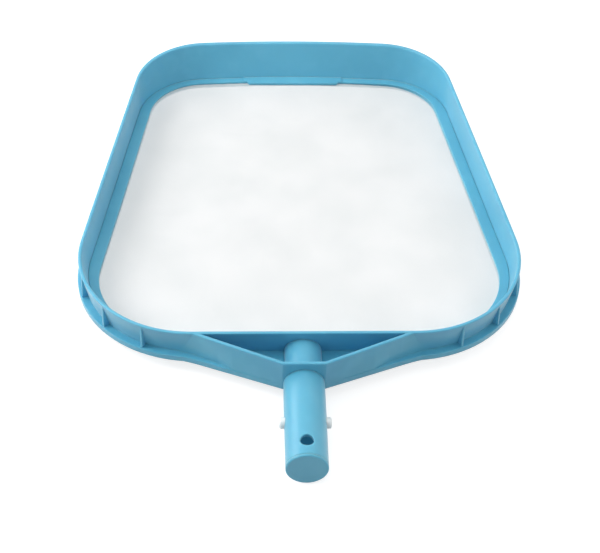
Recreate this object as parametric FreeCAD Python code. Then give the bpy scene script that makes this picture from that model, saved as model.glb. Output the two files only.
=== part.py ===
import FreeCAD, Part
import math
import os
from FreeCAD import Vector

# Leaf skimmer net that fits on the end of a swimming pool pole, in millimetres.
# X is to the right, Y runs from the pole to the far lip, Z is up.
# The origin is on the pole's axis, at the shoulder where the pole's mouth stops.

# pole spigot: the tube that goes inside the pole
spigot_radius = 13.4
spigot_length = 69.3
spigot_seat = 28.0
spigot_draft = 0.2
spigot_wall = 2.2
root_radius = 12.3
root_bore_radius = 9.9
root_bore_end = 20.0
shoulder_wall = 3.0
pin_hole_radius = 4.2
pin_hole_from_shoulder = 57.0

# plug that closes the spigot's end
plug_head = 1.8
plug_insert = 5.8
plug_wall = 1.6
plug_fit = 0.1
plug_edge_break = 0.5

# spring clip inside the spigot, with its two lock buttons
button_radius = 3.6
button_from_shoulder = 32.7
button_proud = 2.95
button_draft = 0.2
button_land_gap = 0.05
button_edge_break = 0.9
button_hole_clearance = 0.45
button_hole_lead = 0.25
clip_thickness = 1.5
clip_height = 8.0
clip_side_gap = 0.34
clip_end_gap = 0.4
clip_bow_depth = 6.0
clip_bow_round = 3.5
clip_arm_past_button = 1.8
clip_hinge_gap = 0.06

# heights above the base, which is the lowest edge of the net's frame
axis_height = 4.8
plate_top = 4.2
plate_thickness = 2.4
ledge_top = 7.6
rim_near_height = 23.5
rim_far_height = 32.0

# the opening that the net spans, as a trapezoid with rounded corners
opening_near_y = 40.7
opening_length = 288.5
opening_near_half = 148.1
opening_far_half = 111.4
opening_near_radius = 62.0
opening_far_radius = 43.4
far_bow = 6.7
opening_far_trim = 1.85

# the basin wall round the opening
ledge_width = 8.8
wall = 2.4
far_wall_extra = 1.0
wall_near_radius = 76.6
wall_far_radius = 54.0
near_draft = 9.0
far_rake = 24.0
rim_edge_break = 0.45
side_draft_near = 9.0
side_draft_far = 0.5

# the outer flange with its turned-down edge and corner gussets
flange_width = 5.4
flange_far_width = 1.6
skirt_wall = 2.0
gusset_angles = (25.0, 48.0, 71.0)
gusset_thickness = 1.5
gusset_foot = 4.4
gusset_below_rim = 1.5

# the brace between the frame and the spigot
brace_flat_half = 13.9
brace_slope = 0.464
brace_foot_slope = 0.396
brace_blend_start = 64.0
brace_blend_end = 86.0
foot_blend_start = 68.0
foot_blend_end = 96.0
blend_sag = 0.9
brace_edge_break = 0.4
web_end = 46.0
web_fade = 56.0
web_sunk = 0.1
root_fit = 0.1

# the ring that traps the net's edge on the ledge
ring_gap = 0.15
ring_top = 6.1
ring_lip = 1.5
land_half = 36.0
land_end = 5.0
land_reach = 3.2
land_rise = 0.6

# the net
net_thickness = 0.4
net_edge_gap = 0.3
net_rows = 17
net_columns = 17
net_strand = 1.8

base_z = -axis_height
plate_top_z = base_z + plate_top
plate_bottom_z = plate_top_z - plate_thickness
ledge_z = base_z + ledge_top
ring_top_z = base_z + ring_top
net_top_z = plate_top_z + net_thickness
opening_far_y = opening_near_y + opening_length
brace_top_z = base_z + rim_near_height
bore_radius = spigot_radius - spigot_wall
spigot_end_radius = spigot_radius - spigot_draft
clip_half_height = clip_height / 2
clip_outer = math.sqrt((bore_radius - clip_side_gap) ** 2 - clip_half_height ** 2)
clip_middle = clip_outer - clip_thickness / 2
clip_hinge_y = -(shoulder_wall + clip_end_gap + clip_bow_depth)
button_y = -button_from_shoulder


def tangent(degrees):
    return math.tan(math.radians(degrees))


def save(name, shape):
    shape.exportStep("parts/%s.step" % name)
    print(name, "solids", len(shape.Solids), "valid", shape.isValid(), "volume", round(shape.Volume, 1))


def arc(a, b, c):
    return Part.Arc(a, b, c).toShape()


def segment(a, b):
    return Part.LineSegment(a, b).toShape()


def side_line(grow, rise):
    # half width of the basin at a distance y, for a side moved out by grow and raised by rise
    near = opening_near_half + rise * tangent(side_draft_near)
    far = opening_far_half + rise * tangent(side_draft_far)
    slope = (near - far) / opening_length
    offset = grow * math.sqrt(1 + slope * slope)
    return near + opening_near_y * slope + offset, slope


def corners(near_y, far_y, sides, near_radius, far_radius):
    # centres and tangent points of the two right-hand corners
    reach, slope = sides
    along = Vector(-slope, 1, 0).normalize()
    out = Vector(along.y, -along.x, 0)
    start = Vector(reach - slope * near_y, near_y, 0)
    near_rise = near_radius * (1 + out.y) / along.y
    near_centre = start - out * near_radius + along * near_rise
    far_half = reach - slope * far_y
    bow_radius = (far_half ** 2 + far_bow ** 2) / (2 * far_bow)
    bow_centre = Vector(0, far_y + far_bow - bow_radius, 0)
    foot = start - out * far_radius - bow_centre
    half = foot.dot(along)
    run = math.sqrt(half * half - foot.dot(foot) + (bow_radius - far_radius) ** 2) - half
    far_centre = start - out * far_radius + along * run
    spoke = (far_centre - bow_centre).normalize()
    return {
        "near_centre": near_centre,
        "near_start": Vector(near_centre.x, near_y, 0),
        "near_end": near_centre + out * near_radius,
        "far_centre": far_centre,
        "far_start": far_centre + out * far_radius,
        "far_end": far_centre + spoke * far_radius,
        "far_top": Vector(0, far_y + far_bow, 0),
    }


def halfway(centre, a, b):
    # middle of the arc from a to b about a centre
    middle = ((a - centre) + (b - centre)).normalize()
    return centre + middle * (a - centre).Length


def mirrored(p):
    return Vector(-p.x, p.y, p.z)


def rounded_outline(z, near_y, far_y, sides, near_radius, far_radius):
    c = corners(near_y, far_y, sides, near_radius, far_radius)
    near_mid = halfway(c["near_centre"], c["near_start"], c["near_end"])
    far_mid = halfway(c["far_centre"], c["far_start"], c["far_end"])
    m = mirrored
    edges = [
        segment(m(c["near_start"]), c["near_start"]),
        arc(c["near_start"], near_mid, c["near_end"]),
        segment(c["near_end"], c["far_start"]),
        arc(c["far_start"], far_mid, c["far_end"]),
        arc(c["far_end"], c["far_top"], m(c["far_end"])),
        arc(m(c["far_end"]), m(far_mid), m(c["far_start"])),
        segment(m(c["far_start"]), m(c["near_end"])),
        arc(m(c["near_end"]), m(near_mid), m(c["near_start"])),
    ]
    wire = Part.Wire(edges)
    wire.translate(Vector(0, 0, z))
    return wire


def opening_outline(z, grow=0.0):
    return rounded_outline(z, opening_near_y - grow, opening_far_y + opening_far_trim + grow, side_line(grow, 0),
                           opening_near_radius + grow, opening_far_radius + grow)


def wall_places(z, out, far_out=0.0):
    # the wall's inner face at height z, moved outward
    rise = z - ledge_z
    grow = ledge_width + out
    near_y = opening_near_y - grow - rise * tangent(near_draft)
    far_y = opening_far_y + grow + far_out + rise * tangent(far_rake)
    return near_y, far_y, side_line(grow, rise), wall_near_radius + out, wall_far_radius + out


def wall_outline(z, out, far_out=0.0):
    return rounded_outline(z, *wall_places(z, out, far_out))


def wall_block(low_z, high_z, out, far_out=0.0):
    # solid block inside a wall outline, leaning as the walls do
    wires = [wall_outline(low_z, out, far_out), wall_outline(high_z, out, far_out)]
    return Part.makeLoft(wires, True, True)


def prism(wire, low_z, high_z):
    face = Part.Face(wire)
    face.translate(Vector(0, 0, low_z - face.BoundBox.ZMin))
    return face.extrude(Vector(0, 0, high_z - low_z))


def rim_plane():
    # a point on the rim's sloping top, and the top's angle
    near_y = wall_places(brace_top_z, wall)[0]
    far_y = wall_places(base_z + rim_far_height, wall)[1] + far_bow
    return Vector(0, near_y, brace_top_z), math.atan2(rim_far_height - rim_near_height, far_y - near_y)


def above_rim():
    # everything above the rim's sloping top
    point, angle = rim_plane()
    reach = 3 * opening_length
    block = Part.makeBox(reach, 2 * reach, reach, Vector(-reach / 2, -reach / 2, 0))
    block.rotate(Vector(0, 0, 0), Vector(1, 0, 0), math.degrees(angle))
    block.translate(point)
    return block


def break_edges(shape, size, point, normal):
    # chamfers the edges that lie in one plane
    def flat(edge):
        return all(abs((p - point).dot(normal)) < 0.01 for p in edge.discretize(Number=5))

    return shape.makeChamfer(size, [e for e in shape.Edges if flat(e)])


def line_y(slope, x):
    return slope * (x - brace_flat_half)


def outline_near_y(places, x):
    # where the near corner of an outline lies at a given x
    c = corners(*places)
    centre = c["near_centre"]
    radius = centre.y - c["near_start"].y
    return centre.y - math.sqrt(radius ** 2 - max(x - centre.x, 0) ** 2)


def brace_side(slope, blend_start, blend_end, places):
    # the brace's outer line, its blend into the near corner, and a point inside the wall
    bend = Vector(brace_flat_half, 0, 0)
    start = Vector(blend_start, line_y(slope, blend_start), 0)
    end = Vector(blend_end, outline_near_y(places, blend_end), 0)
    chord = end - start
    across = Vector(chord.y, -chord.x, 0).normalize()
    middle = (start + end) * 0.5 - across * blend_sag
    return bend, start, middle, end


def closed_face(points, slope, blend_start, blend_end, places):
    # face between the brace's outer line and the given inner points, left and right alike
    bend, start, middle, end = brace_side(slope, blend_start, blend_end, places)
    m = mirrored
    edges = [segment(m(bend), bend), segment(bend, start), arc(start, middle, end)]
    inner = [end] + points
    path = inner + [m(p) for p in reversed(inner)]
    for a, b in zip(path, path[1:]):
        edges.append(segment(a, b))
    edges += [arc(m(end), m(middle), m(start)), segment(m(start), m(bend))]
    return Part.Wire(edges)


def brace_walls():
    places = wall_places(plate_top_z, wall)
    thick = wall * math.sqrt(1 + brace_slope ** 2)
    inner_y = places[0] + wall / 2
    inner_bend_x = brace_flat_half + (wall - thick) / brace_slope
    inner = [
        Vector(brace_blend_end, outline_near_y(places, brace_blend_end) + wall / 2, 0),
        Vector(brace_flat_half + (inner_y - thick) / brace_slope, inner_y, 0),
        Vector(inner_bend_x, wall, 0),
    ]
    wire = closed_face(inner, brace_slope, brace_blend_start, brace_blend_end, places)
    walls = prism(wire, base_z, brace_top_z)
    walls = break_edges(walls, brace_edge_break, Vector(0, 0, brace_top_z), Vector(0, 0, 1))
    walls = walls.fuse(brace_web()).fuse(brace_web().mirror(Vector(0, 0, 0), Vector(1, 0, 0)))
    return walls.cut(wall_block(base_z - wall, brace_top_z + wall, wall / 2))


def brace_web():
    # leaning face that brings the brace's wall out to the edge of its foot, next to the spigot
    def outline(z, slope, sunk):
        points = [
            Vector(brace_flat_half, sunk, z),
            Vector(web_end, line_y(slope, web_end) + sunk, z),
            Vector(web_fade, line_y(brace_slope, web_fade) + sunk, z),
            Vector(web_fade, line_y(brace_slope, web_fade) + wall / 2, z),
            Vector(brace_flat_half, wall / 2, z),
        ]
        return Part.makePolygon(points + points[:1])

    high = brace_top_z - brace_edge_break
    return Part.makeLoft([outline(base_z, brace_foot_slope, 0), outline(high, brace_slope, web_sunk)], True, True)


def flange_face():
    # footprint of the plate: the flange round the basin and the brace's foot
    near_y, far_y, sides, near_radius, far_radius = wall_places(plate_top_z, wall, far_wall_extra)
    sides = side_line(ledge_width + wall + flange_width, plate_top_z - ledge_z)
    places = (near_y - flange_width, far_y + flange_far_width, sides,
              near_radius + flange_width, far_radius + flange_far_width)
    basin = Part.Face(rounded_outline(0, *places))
    deep = Vector(foot_blend_end, opening_near_y, 0)
    wire = closed_face([deep], brace_foot_slope, foot_blend_start, foot_blend_end, places)
    return basin.fuse(Part.Face(wire)).removeSplitter().Faces[0]


def plate_and_skirt():
    face = flange_face()
    edge = Part.Face(face.OuterWire)
    inset = Part.Face(edge.makeOffset2D(-skirt_wall).OuterWire)
    plate = prism(edge.OuterWire, plate_bottom_z, plate_top_z)
    skirt = prism(edge.OuterWire, base_z, plate_top_z).cut(prism(inset.OuterWire, base_z, plate_top_z))
    return plate.fuse(skirt).removeSplitter()


def gusset(angle, side):
    # triangular rib between the wall's outer face and the flange
    low, high = plate_top_z, brace_top_z - gusset_below_rim
    foot = corners(*wall_places(low, wall))["near_centre"]
    top = corners(*wall_places(high, wall))["near_centre"]
    a = math.radians(angle)
    out = Vector(math.sin(a), -math.cos(a), 0)
    radius = wall_near_radius + wall
    top_radius = radius + (top - foot).dot(out)
    sunk = wall / 2
    profile = [
        (radius - sunk, low - plate_thickness / 2),
        (radius + gusset_foot, low - plate_thickness / 2),
        (radius + gusset_foot, low + gusset_thickness / 2),
        (top_radius, high),
        (top_radius - sunk, high),
    ]
    points = [Vector(foot.x, foot.y, 0) + out * r + Vector(0, 0, z) for r, z in profile]
    face = Part.Face(Part.makePolygon(points + points[:1]))
    across = Vector(-out.y, out.x, 0) * gusset_thickness
    face.translate(across * -0.5)
    rib = face.extrude(across)
    return rib if side > 0 else rib.mirror(Vector(0, 0, 0), Vector(1, 0, 0))


def root_hole():
    # passage for the spigot's root through the brace and the pocket's floor
    length = root_end_y(plate_bottom_z) + 2 * wall
    return Part.makeCylinder(root_radius + root_fit, length, Vector(0, -wall, 0), Vector(0, 1, 0))


def root_end_y(z):
    # the outer face of the near wall, where the spigot's root ends
    return wall_places(z, wall)[0]


def rim_wall():
    # the leaning wall and the floor under it, with the rim's edges broken
    high = base_z + rim_far_height + wall
    pan = wall_block(plate_bottom_z, high, wall, far_wall_extra).cut(above_rim())
    pan = pan.cut(wall_block(plate_top_z, high + wall, 0))
    point, angle = rim_plane()
    return break_edges(pan, rim_edge_break, point, Vector(0, -math.sin(angle), math.cos(angle)))


def frame():
    body = rim_wall().fuse(brace_walls()).fuse(plate_and_skirt())
    for angle in gusset_angles:
        for side in (1, -1):
            body = body.fuse(gusset(angle, side))
    body = body.cut(prism(opening_outline(0), plate_bottom_z - wall, plate_top_z + wall))
    passage = root_hole().cut(wall_block(plate_bottom_z - wall, brace_top_z, wall + root_fit))
    return body.cut(passage).removeSplitter()


def net_clamp_ring():
    low, high = plate_top_z, ring_top_z + land_rise
    ring = wall_block(low, high, -ring_gap)
    ring = ring.cut(prism(opening_outline(0), low - wall, high + wall))
    far_y = opening_far_y + far_bow + ledge_width / 2
    tip_y = opening_far_y + opening_far_trim + far_bow - land_reach
    points = [
        Vector(-land_half - land_end, far_y, 0),
        Vector(-land_half, tip_y, 0),
        Vector(land_half, tip_y, 0),
        Vector(land_half + land_end, far_y, 0),
    ]
    land = prism(Part.makePolygon(points + points[:1]), low, high)
    step = Part.makeBox(4 * opening_near_half, 4 * opening_length, high, Vector(0, 0, 0))
    step.translate(Vector(-2 * opening_near_half, -opening_length, ring_top_z))
    keep = Part.makeBox(2 * (land_half + land_end), ledge_width * 4, high,
                        Vector(-land_half - land_end, far_y - ledge_width / 2 - land_reach, ring_top_z))
    ring = ring.cut(step.cut(keep)).fuse(land)
    pocket = prism(net_outline(ring_gap), low - wall, net_top_z)
    return ring.cut(pocket).removeSplitter()


def net_outline(grow=0.0):
    near_y, far_y, sides, near_radius, far_radius = wall_places(plate_top_z, -net_inset() + grow)
    return rounded_outline(0, near_y, far_y, sides, near_radius, far_radius)


def net_inset():
    return ring_gap + ring_lip + net_edge_gap


def net_hole(row, column, inner_face):
    # one gap of the net, between two strands each way, trimmed to the opening
    reach, slope = side_line(0, 0)
    pitch = (opening_length + opening_far_trim + far_bow) / net_rows
    low = opening_near_y + row * pitch + net_strand / 2
    high = low + pitch - net_strand

    def place(step, y, side):
        half = reach - slope * y
        return Vector(-half + 2 * half * step / net_columns + side * net_strand / 2, y, 0)

    quad = [place(column, low, 1), place(column + 1, low, -1), place(column + 1, high, -1), place(column, high, 1)]
    face = Part.Face(Part.makePolygon(quad + quad[:1]))
    if all(inner_face.isInside(p, 1e-3, True) for p in quad):
        return face.OuterWire
    trimmed = face.common(inner_face)
    if not trimmed.Faces or trimmed.Area < net_strand ** 2 * 4:
        return None
    return trimmed.Faces[0].OuterWire


def net():
    inner_face = Part.Face(opening_outline(0, -net_strand / 2))
    face = Part.Face(net_outline())
    holes = []
    for row in range(net_rows):
        for column in range(net_columns):
            wire = net_hole(row, column, inner_face)
            if wire is not None:
                holes.append(wire)
    print("net gaps", len(holes))
    held = Part.makeFace([face.OuterWire] + holes, "Part::FaceMakerBullseye")
    held.translate(Vector(0, 0, plate_top_z))
    return held.extrude(Vector(0, 0, net_thickness))


def turned(profile):
    # solid turned about the spigot's axis from (radius, y) points
    points = [Vector(r, y, 0) for r, y in profile]
    face = Part.Face(Part.makePolygon(points + points[:1]))
    return face.revolve(Vector(0, 0, 0), Vector(0, 1, 0), 360)


def spigot():
    open_end = -spigot_length + plug_head
    root_end = root_end_y(base_z - root_radius) + wall
    tube = turned([
        (0, root_bore_end),
        (root_bore_radius, root_bore_end),
        (root_bore_radius, -shoulder_wall),
        (bore_radius, -shoulder_wall),
        (bore_radius, open_end),
        (spigot_end_radius, open_end),
        (spigot_radius, -spigot_seat),
        (spigot_radius, 0),
        (root_radius, 0),
        (root_radius, root_end),
        (0, root_end),
    ])
    near_wall = wall_block(-2 * root_radius, 2 * root_radius, wall + root_fit)
    tube = tube.cut(near_wall)
    reach = 2 * spigot_radius
    side_hole = Part.makeCylinder(button_radius + button_hole_clearance, 2 * reach,
                                  Vector(-reach, button_y - button_hole_lead, 0), Vector(1, 0, 0))
    pin_hole = Part.makeCylinder(pin_hole_radius, reach, Vector(0, -pin_hole_from_shoulder, 0), Vector(0, 0, 1))
    return tube.cut(side_hole).cut(pin_hole)


def spigot_end_plug():
    end = -spigot_length
    insert_radius = bore_radius - plug_fit
    cup_radius = insert_radius - plug_wall
    return turned([
        (0, end),
        (spigot_end_radius - plug_edge_break, end),
        (spigot_end_radius, end + plug_edge_break),
        (spigot_end_radius, end + plug_head),
        (insert_radius, end + plug_head),
        (insert_radius, end + plug_head + plug_insert),
        (cup_radius, end + plug_head + plug_insert),
        (cup_radius, end + plug_head),
        (0, end + plug_head),
    ])


def clip_bow():
    # the bent back of the spring clip, up to the two bends where its arms flex
    back_y = clip_hinge_y + clip_bow_depth
    block = Part.makeBox(2 * clip_outer, clip_bow_depth, clip_height,
                         Vector(-clip_outer, clip_hinge_y, -clip_half_height))
    uprights = [e for e in block.Edges if abs(e.CenterOfMass.y - back_y) < 1e-3 and abs(e.CenterOfMass.z) < 1e-3]
    block = block.makeFillet(clip_bow_round + clip_thickness, uprights)
    inner_half = clip_outer - clip_thickness
    core = Part.makeBox(2 * inner_half, clip_bow_depth, clip_height,
                        Vector(-inner_half, clip_hinge_y - clip_thickness, -clip_half_height))
    top_y = clip_hinge_y + clip_bow_depth - clip_thickness
    uprights = [e for e in core.Edges if abs(e.CenterOfMass.y - top_y) < 1e-3 and abs(e.CenterOfMass.z) < 1e-3]
    core = core.makeFillet(clip_bow_round, uprights)
    bow = block.cut(core)
    for side in (1, -1):
        socket = Part.makeCylinder(clip_thickness / 2 + clip_hinge_gap, clip_height,
                                   Vector(side * clip_middle, clip_hinge_y, -clip_half_height))
        bow = bow.cut(socket)
    return bow


def clip_arm(side):
    # one flexing arm of the clip with its lock button
    free_y = button_y - button_radius - clip_arm_past_button
    leaf = Part.makeBox(clip_thickness, clip_hinge_y - free_y, clip_height,
                        Vector(clip_middle - clip_thickness / 2, free_y, -clip_half_height))
    bend = Part.makeCylinder(clip_thickness / 2, clip_height,
                             Vector(clip_middle, clip_hinge_y, -clip_half_height))
    tip = spigot_radius + button_proud
    land = spigot_radius + button_land_gap
    out = Vector(1, 0, 0)
    root = Part.makeCone(button_radius + button_draft, button_radius, land - clip_middle,
                         Vector(clip_middle, button_y, 0), out)
    button = Part.makeCylinder(button_radius, tip - land, Vector(land, button_y, 0), out)
    rim = [e for e in button.Edges if abs(e.CenterOfMass.x - tip) < 1e-3 and e.Length > button_radius]
    arm = leaf.fuse(bend).fuse(root).fuse(button.makeChamfer(button_edge_break, rim)).removeSplitter()
    return arm if side > 0 else arm.mirror(Vector(0, 0, 0), Vector(1, 0, 0))


os.makedirs("parts", exist_ok=True)
save("frame", frame())
save("net_clamp_ring", net_clamp_ring())
save("net", net())
save("spigot", spigot())
save("spigot_end_plug", spigot_end_plug())
save("spring_clip_bow", clip_bow())
save("spring_clip_right_arm", clip_arm(1))
save("spring_clip_left_arm", clip_arm(-1))
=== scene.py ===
import math
import bpy
import numpy as np
from mathutils import Matrix, Vector, noise


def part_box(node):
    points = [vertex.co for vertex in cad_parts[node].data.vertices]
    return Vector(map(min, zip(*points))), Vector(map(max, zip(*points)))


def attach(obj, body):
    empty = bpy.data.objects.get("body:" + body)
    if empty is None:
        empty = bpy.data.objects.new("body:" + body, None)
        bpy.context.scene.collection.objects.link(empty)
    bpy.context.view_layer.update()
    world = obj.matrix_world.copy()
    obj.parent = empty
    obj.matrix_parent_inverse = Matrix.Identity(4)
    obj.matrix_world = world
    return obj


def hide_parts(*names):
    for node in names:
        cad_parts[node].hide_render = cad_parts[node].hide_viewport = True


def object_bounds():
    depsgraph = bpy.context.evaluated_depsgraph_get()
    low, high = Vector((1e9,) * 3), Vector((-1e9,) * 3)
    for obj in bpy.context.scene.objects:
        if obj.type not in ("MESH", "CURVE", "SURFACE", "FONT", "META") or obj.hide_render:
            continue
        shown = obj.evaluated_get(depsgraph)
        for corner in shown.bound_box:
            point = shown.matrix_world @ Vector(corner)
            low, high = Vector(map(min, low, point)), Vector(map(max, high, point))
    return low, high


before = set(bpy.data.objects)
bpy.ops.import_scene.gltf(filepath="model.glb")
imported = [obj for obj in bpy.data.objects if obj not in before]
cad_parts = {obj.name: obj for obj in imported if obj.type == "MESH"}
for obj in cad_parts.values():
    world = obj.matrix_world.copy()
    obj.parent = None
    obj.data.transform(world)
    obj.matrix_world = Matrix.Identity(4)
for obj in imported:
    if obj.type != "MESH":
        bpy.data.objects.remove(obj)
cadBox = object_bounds()
print("frame loaded:", len(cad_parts), "nodes")


# shader building blocks

class Wire:
    # one output of a node; arithmetic on it adds Math nodes
    def __init__(self, shader, socket):
        self.shader = shader
        self.socket = socket

    def output(self, key):
        # another output of the same node
        return Wire(self.shader, self.socket.node.outputs[key])

    def __sub__(self, other):
        return self.shader.maths("SUBTRACT", self, other)

    def __rsub__(self, other):
        return self.shader.maths("SUBTRACT", other, self)

    def __mul__(self, other):
        return self.shader.maths("MULTIPLY", self, other)

    def __rmul__(self, other):
        return self.shader.maths("MULTIPLY", other, self)


class Shader:
    # the nodes of a material or a world, which all lead to its surface node
    def __init__(self, owner, surface="Principled BSDF"):
        owner.use_nodes = True
        self.owner = owner
        self.tree = owner.node_tree
        self.surface = self.tree.nodes[surface]

    def node(self, kind, settings, sockets, output=0):
        made = self.tree.nodes.new(kind)
        for key, value in settings.items():
            setattr(made, key, value)
        for key, value in sockets.items():
            self.feed(made.inputs[key], value)
        return Wire(self, made.outputs[output])

    def feed(self, socket, value):
        if isinstance(value, Wire):
            self.tree.links.new(value.socket, socket)
        elif socket.type == "RGBA":
            socket.default_value = (*value, 1.0)
        else:
            socket.default_value = value

    def apply(self, sockets):
        for key, value in sockets.items():
            self.feed(self.surface.inputs[key], value)

    def maths(self, operation, first, second):
        return self.node("ShaderNodeMath", {"operation": operation}, {0: first, 1: second})

    def blend(self, factor, a, b):
        # a colour mix: sockets 6 and 7 are its two colours, output 2 the mixed one
        settings = {"data_type": "RGBA", "clamp_factor": True}
        return self.node("ShaderNodeMix", settings, {0: factor, 6: a, 7: b}, output=2)

    def place(self):
        return self.node("ShaderNodeTexCoord", {}, {}, output="Object")

    def cloud(self, place, scale, detail):
        return self.node("ShaderNodeTexNoise", {},
                         {"Vector": place, "Scale": scale, "Detail": detail})

    def fit(self, value, span, to=(0.0, 1.0)):
        # the value's span, stretched to another one
        return self.node("ShaderNodeMapRange", {},
                         {"Value": value, "From Min": span[0], "From Max": span[1],
                          "To Min": to[0], "To Max": to[1]})

    def bump(self, height, strength, distance, under):
        # a bump on top of the normal under it
        return self.node("ShaderNodeBump", {},
                         {"Height": height, "Strength": strength, "Distance": distance,
                          "Normal": under})

    def backdropRays(self):
        # 1 on rays that see the backdrop, straight, mirrored or through; 0 on rays that light
        camera = self.node("ShaderNodeLightPath", {}, {}, output="Is Camera Ray")
        glossy = camera.output("Is Glossy Ray")
        through = camera.output("Is Transmission Ray")
        return 1 - (1 - camera) * (1 - glossy) * (1 - through)


def linear(r, g, b):
    # an sRGB colour, 0 to 255, as Blender's linear colour
    def one(v):
        v = v / 255
        return v / 12.92 if v <= 0.04045 else ((v + 0.055) / 1.055) ** 2.4
    return one(r), one(g), one(b)


# the blue moulded plastic of the frame, ring, spigot and plug

bluePlastic = {
    "colour": linear(90, 174, 202),
    "deep": linear(81, 165, 194),
    "pale": linear(105, 186, 212),
    "cloudScale": 14.0,
    "cloudDetail": 3.0,
    "cloudSpan": (0.35, 0.65),  # from deep to colour
    "paleSpan": (0.5, 0.8),  # of the ripples
    "paleShare": 0.35,
    "rippleScale": 60.0,
    "rippleDetail": 2.0,
    "rippleStrength": 0.35,
    "rippleHeight": 0.00012,
    "grainScale": 2600.0,
    "grainDetail": 1.0,
    "grainStrength": 0.4,
    "grainHeight": 0.00002,
    "grainSpan": (0.3, 0.7),
    "roughness": (0.33, 0.45),
    "refraction": 1.49,
    "gloss": 0.5,
    "haze": 0.33,  # the white veil at low angles
    "hazeRoughness": 0.4,
    "glowThrough": 0.5,
    "glowDepth": 0.004,
    "glowReach": (0.5, 0.8, 1.0),
    "edgeRadius": 0.0012,
    "edgeSamples": 6,
}

# a painted glow: the wall of the spigot's bore emits a faint blue light of its own, standing
# in for daylight through the wall
paintedBoreGlow = {
    "colour": linear(66, 142, 170),
    "strength": 0.17,
    "radius": 0.0114,
    "fade": 0.0004,
}


def makeBluePlastic(name, look, paintedGlow=None):
    s = Shader(bpy.data.materials.new(name))
    place = s.place()
    cloud = s.cloud(place, look["cloudScale"], look["cloudDetail"])
    flow = s.cloud(place, look["rippleScale"], look["rippleDetail"])
    grain = s.cloud(place, look["grainScale"], look["grainDetail"])
    colour = s.blend(s.fit(cloud, look["cloudSpan"]), look["deep"], look["colour"])
    colour = s.blend(look["paleShare"] * s.fit(flow, look["paleSpan"]), colour, look["pale"])
    soft = s.node("ShaderNodeBevel", {"samples": look["edgeSamples"]},
                  {"Radius": look["edgeRadius"]})
    ripple = s.bump(flow, look["rippleStrength"], look["rippleHeight"], soft)
    s.apply({
        "Base Color": colour,
        "Roughness": s.fit(grain, look["grainSpan"], look["roughness"]),
        "Normal": s.bump(grain, look["grainStrength"], look["grainHeight"], ripple),
        "IOR": look["refraction"],
        "Specular IOR Level": look["gloss"],
        "Sheen Weight": look["haze"],
        "Sheen Roughness": look["hazeRoughness"],
        "Subsurface Weight": look["glowThrough"],
        "Subsurface Scale": look["glowDepth"],
        "Subsurface Radius": look["glowReach"],
    })
    if paintedGlow:
        # the distance from the spigot's axis, which runs along Y
        across = s.node("ShaderNodeVectorMath", {"operation": "MULTIPLY"},
                        {0: place, 1: (1.0, 0.0, 1.0)})
        radius = s.node("ShaderNodeVectorMath", {"operation": "LENGTH"}, {0: across},
                        output="Value")
        inside = 1 - s.fit(radius, (paintedGlow["radius"], paintedGlow["radius"] + paintedGlow["fade"]))
        # painted glow: the bore's wall inside this radius emits light, though it is no lamp
        s.apply({
            "Emission Color": s.blend(inside, (0.0, 0.0, 0.0), paintedGlow["colour"]),
            "Emission Strength": paintedGlow["strength"],
        })
    return s.owner


# the white plastic of the spring clip

whitePlastic = {
    "colour": linear(236, 241, 241),
    "shade": linear(222, 230, 232),
    "cloudScale": 320.0,
    "cloudDetail": 2.0,
    "cloudSpan": (0.35, 0.65),
    "roughSpan": (0.3, 0.7),
    "roughness": (0.3, 0.4),
    "glowThrough": 0.25,
    "glowDepth": 0.004,
    "glowReach": (1.0, 1.0, 1.0),
}


def makeWhitePlastic(name, look):
    s = Shader(bpy.data.materials.new(name))
    cloud = s.cloud(s.place(), look["cloudScale"], look["cloudDetail"])
    s.apply({
        "Base Color": s.blend(s.fit(cloud, look["cloudSpan"]), look["shade"], look["colour"]),
        "Roughness": s.fit(cloud, look["roughSpan"], look["roughness"]),
        "Subsurface Weight": look["glowThrough"],
        "Subsurface Scale": look["glowDepth"],
        "Subsurface Radius": look["glowReach"],
    })
    return s.owner


# the net's white thread

netThread = {
    "colour": linear(240, 241, 241),
    "shade": linear(228, 231, 231),
    "cloudScale": 22.0,
    "cloudDetail": 3.0,
    "cloudSpan": (0.3, 0.7),
    "roughness": (0.55, 0.65),
}


def makeNetThread(name, look):
    s = Shader(bpy.data.materials.new(name))
    cloud = s.cloud(s.place(), look["cloudScale"], look["cloudDetail"])
    s.apply({
        "Base Color": s.blend(s.fit(cloud, look["cloudSpan"]), look["shade"], look["colour"]),
        "Roughness": s.fit(cloud, look["cloudSpan"], look["roughness"]),
    })
    return s.owner


def dress(material, *names):
    for name in names:
        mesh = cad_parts[name].data
        mesh.materials.clear()
        mesh.materials.append(material)


blue = makeBluePlastic("bluePlastic", bluePlastic)
tube = makeBluePlastic("tubePlasticPaintedGlow", bluePlastic, paintedBoreGlow)
white = makeWhitePlastic("whitePlastic", whitePlastic)
thread = makeNetThread("netThread", netThread)
dress(blue, "frame", "net_clamp_ring", "spigot_end_plug")
dress(tube, "spigot")
dress(white, "spring_clip_bow", "spring_clip_right_arm", "spring_clip_left_arm")
print("materials made")


# the net: fine woven threads, trapped at the edge under the ring

net = {
    "pitch": 0.0006,
    "threadWidth": 0.0003,
    "crossing": 0.00007,  # threads of the two ways lie this far above and below the middle
    "step": 0.008,
    "edgeGap": 0.0004,
    "leastPitches": 4,  # shorter threads at the corners are left out
    "sag": 0.0011,
    "waviness": 0.0048,
    "waveScale": 7.0,
    "waveStretch": 0.6,
    "waveLayer": 0.3,
    "creases": 0.0004,
    "creaseScale": 30.0,
    "creaseSlant": 0.4,
    "creaseStretch": 0.3,
    "creaseLayer": 0.8,
    "wander": 0.0001,
    "wanderScale": 55.0,
    "wanderLayer": 2.0,
}


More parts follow.
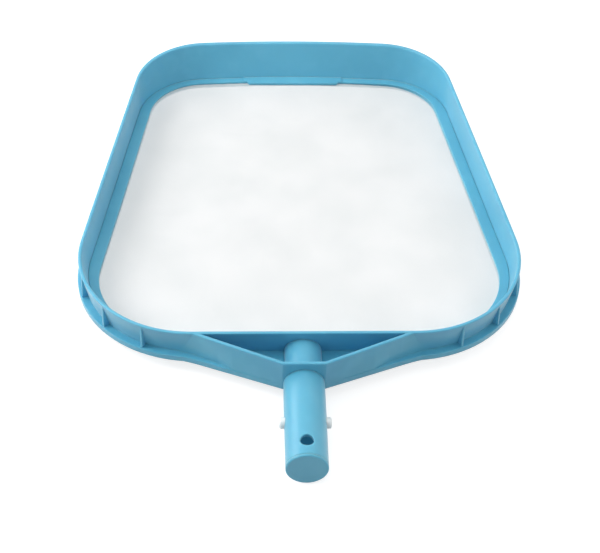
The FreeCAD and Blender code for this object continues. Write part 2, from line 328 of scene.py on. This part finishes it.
def outlineOf(name):
    # the convex outline of a CAD node seen from above
    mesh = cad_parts[name].data
    places = np.empty(len(mesh.vertices) * 3)
    mesh.vertices.foreach_get("co", places)
    places = np.unique(places.reshape(-1, 3)[:, :2].round(6), axis=0)

    def chain(points):
        kept = []
        for p in points:
            while len(kept) > 1 and np.cross(kept[-1] - kept[-2], p - kept[-2]) <= 0:
                kept.pop()
            kept.append(p)
        return kept[:-1]
    return np.array(chain(places) + chain(places[::-1]))


def spanAcross(outline, axis, value):
    # where a line at a fixed value of one axis crosses the outline
    ends = []
    for a, b in zip(outline, np.roll(outline, -1, axis=0)):
        low, high = sorted((a[axis], b[axis]))
        if low <= value < high:
            t = (value - a[axis]) / (b[axis] - a[axis])
            ends.append(a[1 - axis] + t * (b[1 - axis] - a[1 - axis]))
    return (min(ends), max(ends)) if len(ends) > 1 else None


def makeNet(look):
    low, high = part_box("net")
    middle = (low[2] + high[2]) / 2
    outline = outlineOf("net")
    centre = outline.mean(axis=0)
    reach = np.abs(outline - centre).max(axis=0)

    def uneven(x, y, layer, scale, height):
        return noise.noise(Vector((x, y, layer)) * scale) * height

    def height(x, y):
        # the net sags a little in the middle and is slightly uneven
        across = 1 - min(1.0, ((x - centre[0]) / reach[0]) ** 2)
        along = 1 - min(1.0, ((y - centre[1]) / reach[1]) ** 2)
        inside = math.sqrt(across * along)
        wave = uneven(x, look["waveStretch"] * y,
                      look["waveLayer"], look["waveScale"], look["waviness"])
        crease = uneven(x + look["creaseSlant"] * y, look["creaseStretch"] * y,
                        look["creaseLayer"], look["creaseScale"], look["creases"])
        return middle - inside * look["sag"] + inside * (wave + crease)

    vertices, faces = [], []
    for axis in (0, 1):
        start = outline[:, axis].min() + look["edgeGap"]
        end = outline[:, axis].max() - look["edgeGap"]
        count = int((end - start) / look["pitch"])
        side = look["crossing"] * (1 if axis else -1)
        for i in range(count + 1):
            at = start + (end - start) * i / count
            span = spanAcross(outline, axis, at)
            if span is None or span[1] - span[0] < look["leastPitches"] * look["pitch"]:
                continue
            begin, finish = span[0] + look["edgeGap"], span[1] - look["edgeGap"]
            pieces = max(2, int((finish - begin) / look["step"]))
            first = len(vertices)
            for k in range(pieces + 1):
                run = begin + (finish - begin) * k / pieces
                drift = uneven(at, run, look["wanderLayer"] + axis,
                               look["wanderScale"], look["wander"])
                for edge in (-0.5, 0.5):
                    across = at + drift + edge * look["threadWidth"]
                    x, y = (across, run) if axis == 0 else (run, across)
                    vertices.append((x, y, height(x, y) + side))
            for k in range(pieces):
                a = first + 2 * k
                quad = (a, a + 1, a + 3, a + 2)
                faces.append(quad if axis == 0 else quad[::-1])

    mesh = bpy.data.meshes.new("wovenNet")
    mesh.from_pydata(vertices, [], faces)
    mesh.materials.append(thread)
    piece = bpy.data.objects.new("woven_net", mesh)
    bpy.context.scene.collection.objects.link(piece)
    x, y = outline[:, 0], outline[:, 1]
    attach(piece, "skimmer")
    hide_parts("net")


makeNet(net)


# camera, at the photograph's place

camera = {
    "place": (-0.02961, -0.55140, 0.60876),
    "pitch": 42.99,
    "yaw": 2.60,
    "roll": 1.65,
    "focalPixels": 1277.5,
    "pictureWidth": 600,
    "sensor": 36.0,
    "nearest": 0.01,
}


def makeCamera(look):
    pitch, yaw, roll = (math.radians(look[key]) for key in ("pitch", "yaw", "roll"))
    forward = Vector((math.sin(yaw) * math.cos(pitch), math.cos(yaw) * math.cos(pitch),
                      -math.sin(pitch)))
    level = forward.cross(Vector((0, 0, 1))).normalized()
    upright = level.cross(forward)
    right = level * math.cos(roll) + upright * math.sin(roll)
    up = upright * math.cos(roll) - level * math.sin(roll)
    turn = Matrix((right, up, -forward)).transposed().to_4x4()
    data = bpy.data.cameras.new("camera")
    data.sensor_width = look["sensor"]
    data.lens = look["focalPixels"] / look["pictureWidth"] * look["sensor"]
    data.clip_start = look["nearest"]
    seen = bpy.data.objects.new("camera", data)
    seen.matrix_world = Matrix.Translation(look["place"]) @ turn
    bpy.context.scene.collection.objects.link(seen)
    bpy.context.scene.camera = seen


makeCamera(camera)
print("camera placed")


# studio: white floor, white background and soft lamps

studio = {
    "floorSize": 6.0,
    "floorDrop": 0.0005,
    "floorColour": (0.42, 0.42, 0.42),
    "floorRoughness": 0.9,
    "floorGlow": 0.74,
    "backdrop": (1.0, 1.0, 1.0),
    "worldStrength": 0.62,
    "target": (0.0, 0.16, 0.0),
}

lamps = [
    {"name": "keyLamp", "place": (-1.3, 0.2, 0.85), "size": 0.85, "power": 13.6},
    {"name": "rearLamp", "place": (-1.1, 1.1, 0.55), "size": 0.95, "power": 7.5},
    {"name": "topLamp", "place": (-0.2, 0.35, 1.7), "size": 1.5, "power": 7.0},
    {"name": "fillLamp", "place": (1.3, 0.1, 0.7), "size": 1.2, "power": 4.0},
]


def makeFloor(look):
    half = look["floorSize"] / 2
    z = cadBox[0][2] - look["floorDrop"]
    corners = [(-half, -half, z), (half, -half, z), (half, half, z), (-half, half, z)]
    mesh = bpy.data.meshes.new("floor")
    mesh.from_pydata(corners, [], [(0, 1, 2, 3)])
    floor = bpy.data.objects.new("floor", mesh)
    bpy.context.scene.collection.objects.link(floor)
    s = Shader(bpy.data.materials.new("floor"))
    s.apply({
        "Base Color": look["floorColour"],
        "Roughness": look["floorRoughness"],
        "Emission Color": look["backdrop"],
        "Emission Strength": s.backdropRays() * look["floorGlow"],
    })
    mesh.materials.append(s.owner)


def makeWorld(look):
    world = bpy.data.worlds.new("studioWorld")
    bpy.context.scene.world = world
    s = Shader(world, "Background")
    s.apply({
        "Color": look["backdrop"],
        "Strength": s.fit(s.backdropRays(), (0.0, 1.0), (look["worldStrength"], 1.0)),
    })


def makeLamp(look, target):
    data = bpy.data.lights.new(look["name"], "AREA")
    data.shape = "DISK"
    data.size = look["size"]
    data.energy = look["power"]
    lamp = bpy.data.objects.new(look["name"], data)
    place = Vector(look["place"])
    lamp.location = place
    lamp.rotation_euler = (Vector(target) - place).to_track_quat("-Z", "Y").to_euler()
    bpy.context.scene.collection.objects.link(lamp)


makeFloor(studio)
makeWorld(studio)
for lamp in lamps:
    makeLamp(lamp, studio["target"])
bpy.context.scene.view_settings.view_transform = "Standard"
print("studio made")
